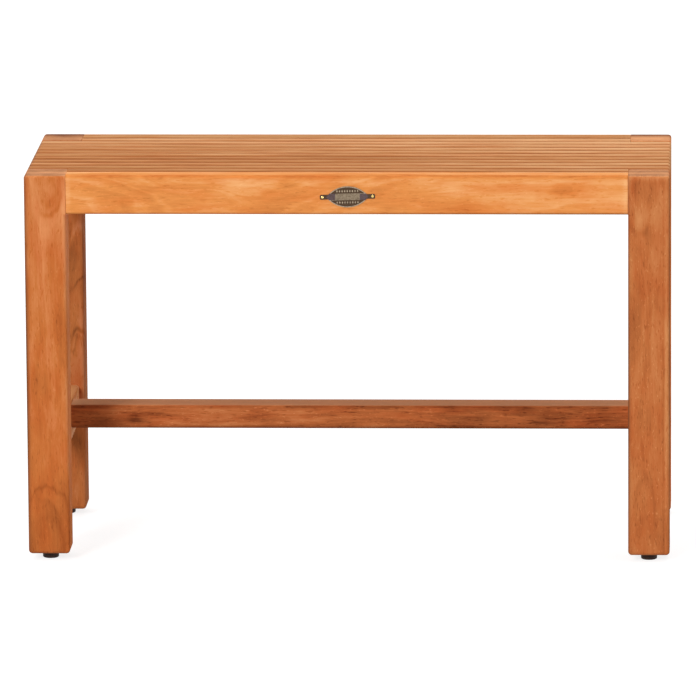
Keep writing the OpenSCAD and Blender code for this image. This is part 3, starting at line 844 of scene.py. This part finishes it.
def makeStud(radius, padTop, top, parts):
    minor, pitch, steps = radius - parts["threadDepth"], parts["pitch"], parts["turnSteps"]
    rise, fall = parts["crest"]
    bm = bmesh.new()
    groove = ((minor, 0), (radius, rise), (radius, fall), (minor, 1))  # one pitch of the thread
    verts = [bm.verts.new((r, 0, padTop + (up - 1) * pitch)) for r, up in groove]
    edges = [bm.edges.new(pair) for pair in zip(verts, verts[1:])]
    turns = math.ceil((top - padTop) / pitch) + 1
    bmesh.ops.spin(bm, geom=verts + edges, cent=(0, 0, 0), axis=(0, 0, 1), dvec=(0, 0, pitch / steps),
                   angle=math.tau * turns, steps=steps * turns)
    bmesh.ops.remove_doubles(bm, verts=bm.verts, dist=parts["threadSeam"])
    for height, way in ((padTop, -1), (top, 1)):  # cut level and closed at both ends
        cut = bmesh.ops.bisect_plane(bm, geom=bm.verts[:] + bm.edges[:] + bm.faces[:], clear_outer=True,
                                     plane_co=(0, 0, height), plane_no=(0, 0, way))
        bmesh.ops.contextual_create(bm, geom=only(bmesh.types.BMEdge, cut["geom_cut"]))
    length, thinner = parts["tip"]
    for vert in bm.verts:  # the tip is turned down so that it finds its way into the insert
        share = max(0, vert.co.z - (top - length)) / length
        vert.co.xy *= 1 - thinner * share
    disc, thick = parts["disc"]
    sole = parts["sole"]
    lathe(bm, [(0, sole), (disc, sole), (disc, sole + thick), (minor, sole + thick), (minor, padTop),
               (0, padTop)])
    return bm


def makeInsert(radius, low, top, parts):
    bore, body = parts["insertBore"], parts["insertBody"]
    below, above = parts["mouths"]
    thick, soft = parts["flange"]
    count, depth, slope = parts["ribs"]
    seat, waist = low + thick, body - depth
    flange = [(bore + below, low), (radius - soft, low), (radius, low + soft), (radius, seat - soft),
              (radius - soft, seat), (waist, seat)]
    step = (top - seat) / (count * 2 + 1)
    ribs = []
    for rib in range(count):
        start = seat + step * (2 * rib + 1)
        end = start + step
        ribs += [(waist, start - slope), (body, start), (body, end - slope), (waist, end)]
    mouth = [(waist, top), (bore + above, top), (bore, top - above), (bore, low + below)]
    bm = bmesh.new()
    lathe(bm, flange + ribs + mouth + flange[:1])
    return bm


rubber = mouldedRubber(footParts["rubber"])
turnedBrass = turnedMetal("turned_brass", footParts["brass"])
zincSteel = turnedMetal("zinc_plated_steel", footParts["zinc"])

for side in legBox:
    foot = side + "_foot"
    padLow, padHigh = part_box(foot + "_pad")
    insertLow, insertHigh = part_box(side + "_insert")
    padTop, studTop = padHigh.z / mm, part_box(foot + "_stud")[1].z / mm
    pad = makePad((padHigh.x - padLow.x) / 2 / mm, padTop, footParts)
    stud = makeStud(footParts["insertBore"] - footParts["play"], padTop, studTop, footParts)
    insert = makeInsert((insertHigh.x - insertLow.x) / 2 / mm, insertLow.z / mm, insertHigh.z / mm,
                        footParts)
    for bm in (pad, stud, insert):
        setInPlace(bm, Matrix.Translation(((padLow.x + padHigh.x) / 2, (padLow.y + padHigh.y) / 2, 0)))
    newPiece("pad" + titled(side), pad, rubber, foot, foot + "_pad")
    newPiece("stud" + titled(side), stud, zincSteel, foot, foot + "_stud")
    newPiece("insert" + titled(side), insert, turnedBrass, "frame", side + "_insert")
print("levelling feet are made")


# Stainless steel or brass, cold headed and then tumbled or polished: bright, with fine spots, and on the
# tumbled steel fine scratches every way.
def brightMetal(name, look):
    look = inLinear(look)
    material, tree = newMaterial(name)
    place = put(tree, "TexCoord").node.outputs["Object"]
    spots = put(tree, "TexNoise", lumps(place, *look["spot"]))
    colour = put(tree, "Mix", {0: spots, 6: look["colour"], 7: look["bright"]}, data_type="RGBA")
    roughness = put(tree, "MapRange", {"Value": spots, **span("To", look["rough"])})
    shaderInputs = {"Base Color": colour, "Metallic": 1.0, "Roughness": roughness}
    if "scratch" in look:
        depth, strength = look["scratch"]
        shaderInputs["Normal"] = put(tree, "Bump", {"Height": spots, "Distance": depth * mm,
                                                    "Strength": strength})
    return finished(material, shaderInputs)


screwLook = {"colour": "#A8A8A4", "bright": "#CFCFCB", "spot": (0.8, 3), "rough": (0.25, 0.45),
             "scratch": (0.02, 0.4)}
screwSteel = brightMetal("tumbled_stainless_steel", screwLook)
for node in ("left_rail_screws", "batten_screws", "right_rail_screws"):
    refinish(node, screwSteel)


nameplate = {
    "thick": 0.7,
    "relief": 0.4,
    "rim": 1.0,
    "band": 8,
    "lens": (50, 25),
    "lug": (7.5, 5.6, 1.2),  # reach beyond the lens, height, radius of its corners
    "pinInset": 2.9,
    "pin": (0.8, 1.5, 0.6, 12, 1.5),  # radii of shank and head, and lengths of head, pin and point
    "tilt": 1.2,  # degrees
    "soften": 0.18,
    "panel": (29, 6.6, 0.12),  # width, height and rise of the panel on the band
    "row": (9, 3.05, 6.75),  # lozenges in a row, their pitch, and the distance of the row from the middle
    "lozenge": (1.15, 2.0, 0.6),  # half width, half height, and the share of them that is left on top
    "beads": (13, 2.05, 1.55),  # the same for the beads on the panel
    "bead": (0.55, 0.14),  # radius, and height as a share of it
    "bronze": {"ground": "#33210F", "tarnish": "#5E4630", "rubbed": "#B8A68C", "panel": "#8C7C66",
               "band": "#5C4C50", "hollow": 0.1, "spot": 1.6, "rub": (0.3, 0.62), "leastRub": 0.45,
               "metallic": (0.45, 0.75), "rough": (0.65, 0.42), "grain": (0.5, 0.06, 0.6)},
    "brass": {"colour": "#D8B25A", "bright": "#F2DC96", "spot": (0.9, 2), "rough": (0.12, 0.28)},
}


def arcRadius(halfWidth, height):
    return (halfWidth**2 + height**2) / (2 * height)


def lens(plate, inset):  # half its width, half its height and the radius of its edge
    halfWidth, halfHeight = plate["lens"][0] / 2 - inset, plate["lens"][1] / 2 - inset
    return halfWidth, halfHeight, arcRadius(halfWidth, halfHeight)


def upperArc(plate, inset, reach=math.inf, steps=20):  # the upper edge of the lens, from -reach to reach
    width, height, radius = lens(plate, inset)
    widest = math.asin(min(reach, width) / radius)
    turns = [widest * (2 * step / steps - 1) for step in range(steps + 1)]
    return [(radius * math.sin(turn), radius * math.cos(turn) + height - radius) for turn in turns]


def mirroredDown(upper):  # a closed outline from its upper half, whose ends may lie on the middle line
    return upper + [(u, -v) for u, v in reversed(upper) if v > mergeWithin / mm]


def arcReach(plate, inset, height):  # how far from the middle the upper edge is this high
    _, halfHeight, radius = lens(plate, inset)
    return math.sqrt(radius**2 - (height + radius - halfHeight) ** 2)


def pullUp(bm, faces, height):  # gives back what is new
    pulled = bmesh.ops.extrude_face_region(bm, geom=faces)["geom"]
    bmesh.ops.translate(bm, vec=(0, 0, height), verts=only(bmesh.types.BMVert, pulled))
    return pulled


def slab(bm, outline, low, high, soften):  # a flat shape, pulled up and softened along its upper edge
    face = bm.faces.new([bm.verts.new((u, v, low)) for u, v in outline])
    rim = only(bmesh.types.BMEdge, pullUp(bm, [face], high - low))
    bmesh.ops.bevel(bm, geom=rim, offset=soften, segments=2, profile=0.5, affect="EDGES", material=-1,
                    clamp_overlap=True)


def alongRow(count, pitch, away, height):  # a row of places above the middle of the plate, and one below
    for i in range(count):
        for side in (-1, 1):
            yield Matrix.Translation(((i - (count - 1) / 2) * pitch, side * away, height))


def makePlate(plate):
    bm = bmesh.new()
    lugReach, lugHeight, corner = plate["lug"]
    end, half = plate["lens"][0] / 2 + lugReach, lugHeight / 2
    ground, top = plate["thick"], plate["thick"] + plate["relief"]
    leftCorner = rounded((-end + corner, half - corner), corner, 90)[::-1]
    rightCorner = rounded((end - corner, half - corner), corner, 0)[::-1]
    arc = upperArc(plate, 0, arcReach(plate, 0, half))
    slab(bm, mirroredDown(leftCorner + arc + rightCorner), 0, ground, plate["soften"])

    # the rim is a ring between two lenses
    edges = []
    for inset in (0, plate["rim"]):
        verts = [bm.verts.new((u, v, ground)) for u, v in mirroredDown(upperArc(plate, inset))]
        edges += [bm.edges.new((verts[i - 1], verts[i])) for i in range(len(verts))]
    pullUp(bm, bmesh.ops.bridge_loops(bm, edges=edges)["faces"], plate["relief"])

    # the band, with a panel on it
    inset, halfBand = plate["rim"], plate["band"] / 2
    crossing = arcReach(plate, inset, halfBand)
    arc = upperArc(plate, inset, steps=60)
    left, right = [p for p in arc if p[0] < -crossing], [p for p in arc if p[0] > crossing]
    slab(bm, mirroredDown(left + [(-crossing, halfBand), (crossing, halfBand)] + right), ground, top,
         plate["soften"])
    width, height, rise = plate["panel"]
    square = [(u * width / 2, v * height / 2) for u, v in ((-1, -1), (1, -1), (1, 1), (-1, 1))]
    slab(bm, square, top, top + rise, rise / 2)

    # plain lozenges above and below the band, and beads on the panel
    halfWidth, halfHeight, left = plate["lozenge"]
    for place in alongRow(*plate["row"], ground + plate["relief"] / 2):
        stretched = place @ Matrix.Diagonal((halfWidth, halfHeight, 1, 1))
        bmesh.ops.create_cone(bm, cap_ends=True, segments=4, radius1=1, radius2=left,
                              depth=plate["relief"], matrix=stretched)
    radius, flat = plate["bead"]
    for place in alongRow(*plate["beads"], top + rise):
        bmesh.ops.create_icosphere(bm, subdivisions=2, radius=radius,
                                   matrix=place @ Matrix.Diagonal((1, 1, flat, 1)))
    return bm


def makePins(plate):
    bm = bmesh.new()
    shank, head, height, length, point = plate["pin"]
    ground = plate["thick"]
    dome, steps = arcRadius(head, height), 8
    turns = [math.asin(head / dome) * step / steps for step in range(steps, -1, -1)]
    domed = [(dome * math.sin(turn), ground + height - dome * (1 - math.cos(turn))) for turn in turns]
    for side in (-1, 1):
        before = set(bm.verts)
        lathe(bm, [(0, -length), (shank, point - length), (shank, ground)] + domed, 32)
        middle = side * (plate["lens"][0] / 2 + plate["lug"][0] - plate["pinInset"])
        bmesh.ops.translate(bm, vec=(middle, 0, 0), verts=list(set(bm.verts) - before))
    return bm


# Cast bronze, chemically darkened and then rubbed: brown in the hollows and pale on the relief.
def darkenedBronze(plate, low, high):
    look = inLinear(plate["bronze"])
    material, tree = newMaterial("darkened_bronze")
    place = put(tree, "TexCoord").node.outputs["Object"]
    y = put(tree, "SeparateXYZ", {0: place}).node.outputs["Y"]
    hollow = high.y - (plate["thick"] + look["hollow"]) * mm  # up to here it stays dark
    tops = put(tree, "MapRange", {"Value": y, **span("From", (hollow, low.y))})
    spots = put(tree, "TexNoise", lumps(place, look["spot"]))
    rubbed = put(tree, "MapRange", {"Value": spots, **span("From", look["rub"]),
                                    "To Min": look["leastRub"]})
    rubbed = put(tree, "Math", {0: rubbed, 1: tops}, operation="MULTIPLY")
    away = put(tree, "VectorMath", {0: place, 1: (low + high) / 2}, operation="SUBTRACT")
    away = put(tree, "VectorMath", {0: away}, operation="ABSOLUTE")
    aside, _, above = put(tree, "SeparateXYZ", {0: away}).node.outputs
    endOfBand = put(tree, "Math", {0: aside, 1: plate["panel"][0] / 2 * mm}, operation="GREATER_THAN")
    onBand = put(tree, "Math", {0: above, 1: plate["band"] / 2 * mm}, operation="LESS_THAN")
    band = put(tree, "Mix", {0: endOfBand, 6: look["panel"], 7: look["band"]}, data_type="RGBA")
    pale = put(tree, "Mix", {0: onBand, 6: look["rubbed"], 7: band}, data_type="RGBA")
    dark = put(tree, "Mix", {0: spots, 6: look["ground"], 7: look["tarnish"]}, data_type="RGBA")
    colour = put(tree, "Mix", {0: rubbed, 6: dark, 7: pale}, data_type="RGBA")
    metallic = put(tree, "MapRange", {"Value": rubbed, **span("To", look["metallic"])})
    roughness = put(tree, "MapRange", {"Value": rubbed, **span("To", look["rough"])})
    size, depth, strength = look["grain"]
    grain = put(tree, "TexNoise", lumps(place, size, 2))
    bump = put(tree, "Bump", {"Height": grain, "Distance": depth * mm, "Strength": strength})
    return finished(material, {"Base Color": colour, "Metallic": metallic, "Roughness": roughness,
                               "Normal": bump})


plateLow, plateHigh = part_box("nameplate")
plateBack = Vector(((plateLow.x + plateHigh.x) / 2, plateHigh.y, (plateLow.z + plateHigh.z) / 2))
upright = Matrix.Rotation(math.radians(90), 4, "X")
tilted = Matrix.Rotation(math.radians(nameplate["tilt"]), 4, "Z")
onApron = Matrix.Translation(plateBack) @ (upright @ tilted)
plate, pins = makePlate(nameplate), makePins(nameplate)
for bm in (plate, pins):
    setInPlace(bm, onApron)
bronze = darkenedBronze(nameplate, plateLow, plateHigh)
newPiece("castNameplate", plate, bronze, "frame", "nameplate")
brass = brightMetal("polished_brass", nameplate["brass"])
newPiece("domedPins", pins, brass, "frame", "nameplate_pins")
print("nameplate and pins are made")
